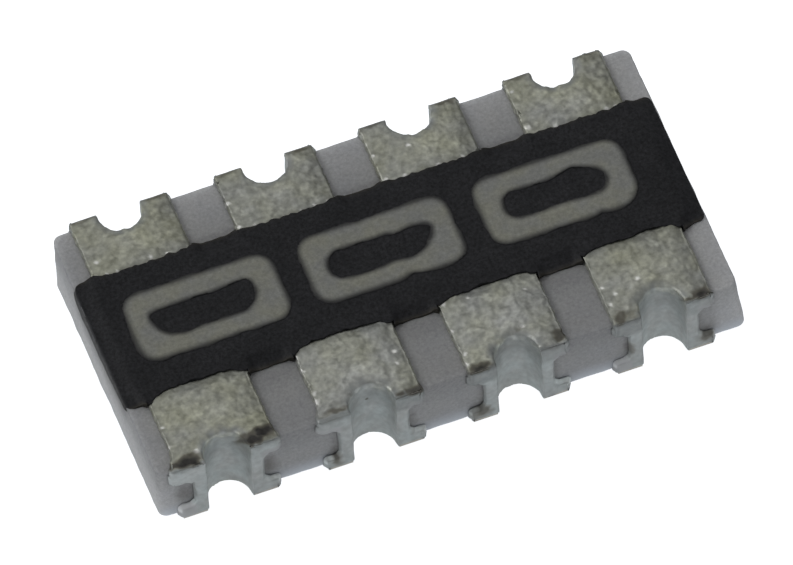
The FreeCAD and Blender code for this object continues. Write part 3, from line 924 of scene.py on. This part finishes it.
def buildCoat():
    bm = mergedCopy("overcoat")
    (_, _, bottom), (_, _, top) = cornersOf(bm)
    rimEdges = [e for e in bm.edges if all(v.co.z > top - 0.0005 for v in e.verts)
                and any(f.normal.z < 0.5 for f in e.link_faces)]
    roundEdges(bm, rimEdges, coat["edgeRound"], 4)
    shown = bm.faces.layers.int.new("shown")
    for face in bm.faces:
        outside = face.normal.z > 0.05 or abs(face.normal.z) < 0.05
        face[shown] = int(outside and max(v.co.z for v in face.verts) > bottom + 0.012)
    for axis, (low, high) in enumerate(coat["cuts"]):
        cutIntoSteps(bm, shown, axis, low, high, coat["step"])
    bm.normal_update()
    rim = newLayers(bm, "rim")["rim"]
    for vert in bm.verts:
        if not any(f[shown] for f in vert.link_faces):
            continue
        place, normal = vert.co.copy(), vert.normal.copy()
        wave = noise.noise(place / coat["wavySize"]) + 0.5 * noise.noise(place / 0.025)
        flat = vec(normal.x, normal.y, 0)
        calm = 1 - 0.7 * soft(abs(place.x), 1.5, 1.58)
        vert.co = place + flat * coat["waviness"] * wave * calm
        vert.co.y += lapAt(place)
        vert.co.z = bottom + (place.z - bottom) * thinAt(place)
        if normal.z > 0.5 and place.z > top - 0.001:
            vert.co.z += 0.0008 * noise.noise(place / 0.15)
        low = 1 - soft(place.z, bottom + 0.004, top - 0.004)
        fringe = 0.5 + 0.5 * noise.noise(place / 0.2)
        if place.x < -1.58:
            vert.co.x = place.x - coat["skirtOut"] * (1 - soft(place.z, top - 0.012, top))
            vert.co.z -= skirtAt(place) * low
            fringe = 0.2 + 0.2 * noise.noise(place / 0.1)
        fromEdge = min(place.y - coat["front"], coat["back"] - place.y)
        wornBrown = 1 - soft(fromEdge, 0.0, coat["worn"])
        wornBrown *= 0.4 + 0.4 * noise.noise(place / 0.03)
        vert[rim] = max(low * fringe, wornBrown)
    faceCount = len(bm.faces)
    finishPiece(bm, "black_coat", makeCoatMaterial(), "overcoat", "overcoat")
    print("overcoat with", faceCount, "faces")


buildCoat()


# printed noughts

mark = {
    "step": 0.011,
    "evenPasses": (20, 3),  # rounds off the printed line, before and after it is reshaped
    "wobble": 0.0085,
    "wobbleSize": 0.085,
    "fringe": 0.003,
    "fringeSize": 0.018,
    "spreadIn": 0.016,  # the ink runs out this far, thinner and thinner, into its hollow
    "spreadOut": 0.013,  # and outwards
    "spreadRun": 0.06,  # from this far inside the outline
    "drawnRun": 0.075,  # how far from the hollow the ink is drawn along with it
    "moved": -0.007,  # the outer outline lies this far to the right of the usual
    "squeezed": (0.012, 0.004),  # and its front and back sides this much further back
    "thinRun": 0.034,  # how far in from the outline the ink looks thin
    "edgeDrop": 0.0025,  # and how much thinner it is at its edge,
    "edgeRun": 0.03,  # over this run
    "tone": (0.286, 0.291, 0.273),
    "toneWarm": (0.31, 0.31, 0.26),
    "thin": (0.035, 0.035, 0.036),
    # uneven printing: the outline of each hollow, from the nought's middle
    "hollows": {
        1: [(-0.316, 0.06), (-0.3, 0.086), (-0.203, 0.09), (-0.031, 0.103), (0.069, 0.096),
            (0.24, 0.103), (0.273, 0.08), (0.281, 0.013), (0.254, -0.04), (0.19, -0.09),
            (0.011, -0.097), (-0.089, -0.092), (-0.167, -0.1), (-0.246, -0.08),
            (-0.291, -0.037), (-0.311, 0.02)],
        2: [(-0.316, 0.006), (-0.303, 0.051), (-0.246, 0.091), (-0.103, 0.094), (0.054, 0.1),
            (0.109, 0.077), (0.183, 0.091), (0.269, 0.083), (0.299, 0.056), (0.283, -0.002),
            (0.226, -0.063), (0.14, -0.099), (0.04, -0.092), (-0.031, -0.103),
            (-0.203, -0.097), (-0.274, -0.08), (-0.31, -0.044)],
        3: [(-0.303, 0.02), (-0.289, 0.07), (-0.239, 0.1), (-0.089, 0.097), (0.026, 0.108),
            (0.104, 0.123), (0.133, 0.128), (0.183, 0.106), (0.254, 0.07), (0.284, 0.027),
            (0.284, -0.016), (0.254, -0.063), (0.211, -0.08), (-0.031, -0.077),
            (-0.231, -0.077), (-0.274, -0.059), (-0.3, -0.023)],
    },
    # and dents in the outer outline: x and y from the middle, reach, how far the ink is moved
    "dents": {
        1: [(0.1, -0.215, 0.04, 0.0, 0.006)],
        2: [(0.097, -0.215, 0.04, 0.0, 0.02), (-0.06, 0.215, 0.05, 0.0, -0.006)],
        3: [(0.18, -0.215, 0.018, 0.0, 0.02), (0.39, -0.19, 0.06, -0.01, 0.012)],
    },
}


def makeMarkMaterial():
    material, tree, shader = newMaterial("printed ink", specular=0.3)
    tone = placeGroup(tree, patchGroup, toneA=mark["tone"], toneB=mark["toneWarm"],
                      patches=7.0, balance=0.52, blur=0.12)
    grain = placeGroup(tree, grainGroup, grains=45.0, fineness=0.8, cells=0.2)
    base = addShade(tree, tone["Color"], grain, 0.84, 1.28)
    base = addMix(tree, addMask(tree, "fringe"), base, mark["thin"])
    addLook(tree, shader, base, (0.68, 0.52), grain, 0.002)
    return material


def evenOutline(outline, passes):
    # draws each outline point towards its neighbours along the same outline
    kept = set(outline)
    chain = {v: [e.other_vert(v) for e in v.link_edges
                 if e.other_vert(v) in kept and abs(e.other_vert(v).co.z - v.co.z) < 0.0005
                 and any(abs(f.normal.z) < 0.5 for f in e.link_faces)] for v in outline}
    for _ in range(passes):
        middles = {v: sum((n.co for n in near), Vector()) / len(near)
                   for v, near in chain.items() if near}
        for vert, middle in middles.items():
            vert.co = (vert.co + middle) / 2


def hollowReach(corners, direction):
    # how far the hollow's outline lies from the nought's middle in a direction
    for here, there in zip(corners, corners[1:] + corners[:1]):
        edgeX, edgeY = there[0] - here[0], there[1] - here[1]
        turn = direction[0] * edgeY - direction[1] * edgeX
        if abs(turn) > 1e-9:
            share = (here[0] * direction[1] - here[1] * direction[0]) / turn
            reach = (here[0] * edgeY - here[1] * edgeX) / turn
            if reach > 0 and 0 <= share <= 1:
                return reach
    return 0.0


def reshapeMark(bm, number, outline, middle):
    # gives the hollow and the outer outline their own shapes, and draws the ink beside them along
    inner = []
    for vert in outline:
        x, y = vert.co.x - middle[0], vert.co.y - middle[1]
        if abs(x) < 0.32 and abs(y) < 0.13:
            away = math.hypot(x, y)
            reach = hollowReach(mark["hollows"][number], (x / away, y / away))
            inner.append((vert, vec(x, y, 0) / away * (reach - mark["spreadIn"] - away)))
    tree = treeOf([vert for vert, _ in inner])
    low, high = mark["squeezed"]
    moves = []
    for vert in bm.verts:
        _, i, away = tree.find(vert.co)
        move = inner[i][1] * (1 - soft(away, 0.0, mark["drawnRun"]))
        x, y = vert.co.x - middle[0], vert.co.y - middle[1]
        outside = max(soft(abs(y), 0.13, 0.2), soft(abs(x), 0.32, 0.39))
        move.y += outside * (low * soft(-y, 0.05, 0.15) + high * soft(y, 0.05, 0.15))
        for dentX, dentY, reach, moveX, moveY in mark["dents"][number]:
            fade = math.exp(-(math.hypot(x - dentX, y - dentY) / reach) ** 2)
            move += vec(moveX, moveY, 0) * fade
        moves.append((vert, move + vec(mark["moved"] * outside, 0, 0)))
    for vert, move in moves:
        vert.co += move


def buildMarks():
    material = makeMarkMaterial()
    for number in (1, 2, 3):
        name = "value_mark_%d" % number
        bm = mergedCopy(name)
        low, high = cornersOf(bm)
        middle = [(a + b) / 2 for a, b in zip(low, high)]
        shown = bm.faces.layers.int.new("shown")
        for face in bm.faces:
            face[shown] = int(face.normal.z > -0.5)
        for axis in (0, 1):
            cutIntoSteps(bm, shown, axis, low[axis], high[axis], mark["step"])
        outline = [v for v in bm.verts if any(abs(f.normal.z) < 0.5 for f in v.link_faces)]
        before, after = mark["evenPasses"]
        evenOutline(outline, before)
        reshapeMark(bm, number, outline, middle)
        evenOutline(outline, after)
        bm.normal_update()
        tree = treeOf(outline)
        facings = [vec(v.normal.x, v.normal.y, 0).normalized() for v in outline]
        fringe = newLayers(bm, "fringe")["fringe"]
        for vert in bm.verts:
            place, normal = vert.co.copy(), vert.normal.copy()
            _, nearest, inside = tree.find(place)
            vert[fringe] = 1 - soft(inside, 0.0, mark["thinRun"])
            flat = vec(normal.x, normal.y, 0)
            wave = mark["wobble"] * noise.noise(place / mark["wobbleSize"])
            wave += mark["fringe"] * noise.noise(place / mark["fringeSize"])
            outside = abs(place.x - middle[0]) > 0.35 or abs(place.y - middle[1]) > 0.15
            out = mark["spreadOut"] * (1 - soft(inside, 0.0, mark["spreadRun"]))
            out *= outside
            vert.co = place + flat * wave * 2 + facings[nearest] * out
            if place.z > high[2] - 0.0005:
                vert.co.z -= mark["edgeDrop"] * (1 - soft(inside, 0.0, mark["edgeRun"]))
        faceCount = len(bm.faces)
        finishPiece(bm, "printed_nought_%d" % number, material, "mark_ink", name)
    print("three noughts with", faceCount, "faces each")


buildMarks()


# hidden layers, which stay as the frame's own nodes: two tones, metallic, roughness

layerValues = {
    "silver_electrode": ((0.78, 0.76, 0.71), (0.66, 0.63, 0.56), 1.0, 0.42),
    "nickel_barrier": ((0.62, 0.6, 0.54), (0.55, 0.53, 0.48), 1.0, 0.36),
    "film_element": ((0.045, 0.043, 0.045), (0.07, 0.065, 0.06), 0.0, 0.7),
    "primary_glaze": ((0.12, 0.17, 0.13), (0.15, 0.2, 0.15), 0.0, 0.18),
}


def dressLayers():
    for prefix, (toneA, toneB, metal, roughness) in layerValues.items():
        material, tree, shader = newMaterial(prefix.replace("_", " "), metallic=metal)
        tone = placeGroup(tree, patchGroup, toneA=toneA, toneB=toneB, patches=11.0)
        grain = placeGroup(tree, grainGroup, grains=90.0, fineness=0.6)
        addLook(tree, shader, tone["Color"], (roughness + 0.08, roughness), grain, 0.0015)
        for name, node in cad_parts.items():
            if name.startswith(prefix):
                node.data.materials.clear()
                node.data.materials.append(material)
    print("hidden layers dressed")


dressLayers()


# floor, light and air

stage = {
    "floorSize": 400.0,
    "floorTone": (0.8, 0.82, 0.85),
    "glowTone": (0.96, 0.98, 1.0),
    "glow": 0.36,  # the floor is lit from below, like a light table
    "shownGlow": 0.58,  # and looks that much brighter than it lights the part
    "air": (0.97, 0.98, 1.0),
    "airStrength": 0.19,
    # azimuth, elevation, distance, size, radiance
    "lamps": {
        "key": (-105.0, 42.0, 170.0, 80.0, 3.6),
        "fill": (35.0, 50.0, 190.0, 90.0, 0.7),
        "back": (165.0, 55.0, 180.0, 90.0, 0.9),
    },
}


def addStage():
    bm = bmesh.new()
    bmesh.ops.create_grid(bm, x_segments=4, y_segments=4, size=stage["floorSize"] / 2)
    bmesh.ops.scale(bm, vec=(perMm,) * 3, verts=bm.verts)
    mesh = bpy.data.meshes.new("floor")
    bm.to_mesh(mesh)
    bm.free()
    floor = addObject("floor", mesh)
    material = bpy.data.materials.new("pale floor")
    material.use_nodes = True
    tree = material.node_tree
    tree.nodes.clear()
    path = addNode(tree, "ShaderNodeLightPath")
    seen = addMath(tree, "MULTIPLY", path.outputs["Is Camera Ray"], stage["shownGlow"])
    strength = addMath(tree, "ADD", seen, stage["glow"])
    matte = addNode(tree, "ShaderNodeBsdfDiffuse", {"Color": stage["floorTone"]})
    pale = addNode(tree, "ShaderNodeEmission", {"Color": stage["glowTone"], "Strength": strength})
    both = addNode(tree, "ShaderNodeAddShader", {0: matte.outputs[0], 1: pale.outputs[0]})
    addNode(tree, "ShaderNodeOutputMaterial", {"Surface": both.outputs[0]})
    mesh.materials.append(material)

    world = bpy.data.worlds.new("air")
    world.use_nodes = True
    scene.world = world
    feed(world.node_tree, world.node_tree.nodes["Background"],
         {"Color": stage["air"], "Strength": stage["airStrength"]})

    for name, (azimuth, elevation, distance, size, radiance) in stage["lamps"].items():
        data = bpy.data.lights.new(name, "AREA")
        data.shape = "SQUARE"
        data.size = size * perMm
        data.energy = radiance * math.pi * (size * perMm) ** 2
        away = directionOf(azimuth, elevation)
        turn = away.to_track_quat("Z", "Y").to_matrix().to_4x4()
        addObject(name, data).matrix_world = Matrix.Translation(away * distance * perMm) @ turn
    scene.view_settings.view_transform = "Standard"
    print("floor and lamps set")


addStage()
